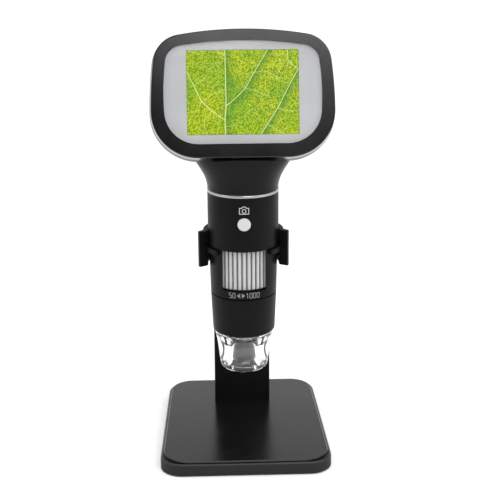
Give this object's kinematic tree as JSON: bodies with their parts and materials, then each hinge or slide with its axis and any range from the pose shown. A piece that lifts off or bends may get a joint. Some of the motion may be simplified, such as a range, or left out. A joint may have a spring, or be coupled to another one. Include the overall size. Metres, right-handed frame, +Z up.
{
  "type": "handheld digital microscope with display on a stand",
  "caption": "Digital microscope with a tilted colour display, focus wheel and clear tip, held in an open clip that slides on the upright of a flat stand.",
  "frame": {"origin": "middle of the stand's base, on the surface that its feet stand on", "axes": "+Z up, +X to the user's right, +Y to the back; the display faces -Y and leans back"},
  "size_m": [0.083, 0.097, 0.2047],
  "materials": {
    "stand_plastic": "satin moulded black",
    "column_metal": "black powder coat",
    "clip_plastic": "moulded black",
    "barrel_plastic": "soft-touch black",
    "head_plastic": "semi-gloss black",
    "trim_metal": "polished silver trim",
    "wheel_plastic": "moulded light grey",
    "key_plastic": "white",
    "rear_key_rubber": "matt dark grey",
    "clear_plastic": "clear moulded plastic",
    "window_panel": "light grey back-printed panel",
    "lens_glass": "coated lens glass",
    "lcd_glass": "display panel",
    "backlight_white": "white diffuser",
    "board_green": "circuit board",
    "chip_black": "component packages",
    "led_white": "light-emitting diodes",
    "steel": "zinc plated",
    "weight_iron": "bare ballast",
    "brass": "machined",
    "foot_rubber": "soft black",
    "battery_pouch": "foil pouch",
    "cable_film": "flexible film",
    "black_optic": "blackened optic mount",
    "nose_grey": "grey lens barrel"
  },
  "bodies": {
    "stand": {"base_shell": "stand_plastic", "base_cover": "stand_plastic", "base_weight": "weight_iron", "base_feet": "foot_rubber", "base_screws": "steel", "column": "column_metal", "column_screws": "steel"},
    "holder": {"holder_clip": "clip_plastic", "clamp_insert": "brass"},
    "clamp_jaw": {"clamp_plate": "clip_plastic"},
    "knob": {"clamp_knob": "clip_plastic", "clamp_stud": "steel"},
    "microscope": {"upper_barrel": "barrel_plastic", "trim_ring": "trim_metal", "middle_barrel": "barrel_plastic", "lower_sleeve": "barrel_plastic", "lens_guide": "black_optic", "sensor_board": "board_green", "image_sensor": "chip_black", "led_board": "board_green", "leds": "led_white", "capture_switch": "steel", "button_board": "board_green", "rear_shell": "head_plastic", "front_bezel": "head_plastic", "display_window": "window_panel", "lcd_panel": "lcd_glass", "backlight": "backlight_white", "main_board": "board_green", "board_chips": "chip_black", "key_switches": "steel", "battery": "battery_pouch", "usb_socket": "steel", "card_socket": "steel", "head_screws": "steel", "sensor_cable": "cable_film", "display_cable": "cable_film"},
    "wheel": {"focus_wheel": "wheel_plastic"},
    "lens_cell": {"lens_carrier": "nose_grey", "lens_elements": "lens_glass"},
    "shutter_key": {"capture_button": "key_plastic"},
    "power_key": {"power_button": "rear_key_rubber"},
    "up_key": {"up_button": "rear_key_rubber"},
    "down_key": {"down_button": "rear_key_rubber"},
    "menu_key": {"menu_button": "rear_key_rubber"},
    "tip": {"clear_tip": "clear_plastic"}
  },
  "joints": [
    {"name": "holder_height", "type": "slide", "parent": "stand", "child": "holder", "axis": [0, 0, 1], "range_m": [-0.032, 0.03]},
    {"name": "jaw_release", "type": "slide", "parent": "holder", "child": "clamp_jaw", "axis": [0, 1, 0], "range_m": [0, 0.00081]},
    {"name": "knob_turn", "type": "hinge", "parent": "clamp_jaw", "child": "knob", "pos_m": [0, 0.0355, 0.104], "axis": [0, 1, 0], "range_deg": [0, 360]},
    {"name": "lift_out", "type": "slide", "parent": "holder", "child": "microscope", "axis": [0, 0, 1], "range_m": [0, 0.075]},
    {"name": "focus_turn", "type": "hinge", "parent": "microscope", "child": "wheel", "pos_m": [0, -0.0191, 0.096], "axis": [0, 0, 1], "range_deg": [-100, 200]},
    {"name": "lens_travel", "type": "slide", "parent": "microscope", "child": "lens_cell", "axis": [0, 0, 1], "range_m": [-0.004, 0.008]},
    {"name": "capture_press", "type": "slide", "parent": "microscope", "child": "shutter_key", "axis": [0, 1, 0], "range_m": [0, 0.0005], "stiffness_N_per_m": 1000},
    {"name": "power_press", "type": "slide", "parent": "microscope", "child": "power_key", "axis": [0, -0.9659, 0.2588], "range_m": [0, 0.0005], "stiffness_N_per_m": 1000},
    {"name": "up_press", "type": "slide", "parent": "microscope", "child": "up_key", "axis": [0, -0.9659, 0.2588], "range_m": [0, 0.0005], "stiffness_N_per_m": 1000},
    {"name": "down_press", "type": "slide", "parent": "microscope", "child": "down_key", "axis": [0, -0.9659, 0.2588], "range_m": [0, 0.0005], "stiffness_N_per_m": 1000},
    {"name": "menu_press", "type": "slide", "parent": "microscope", "child": "menu_key", "axis": [0, -0.9659, 0.2588], "range_m": [0, 0.0005], "stiffness_N_per_m": 1000},
    {"name": "tip_pull", "type": "slide", "parent": "microscope", "child": "tip", "axis": [0, 0, -1], "range_m": [0, 0.012]}
  ],
  "couplings": [
    {"joint": "jaw_release", "follows": "knob_turn", "m_per_rad": 0.00012732},
    {"joint": "lens_travel", "follows": "focus_turn", "m_per_rad": 0.00229}
  ]
}
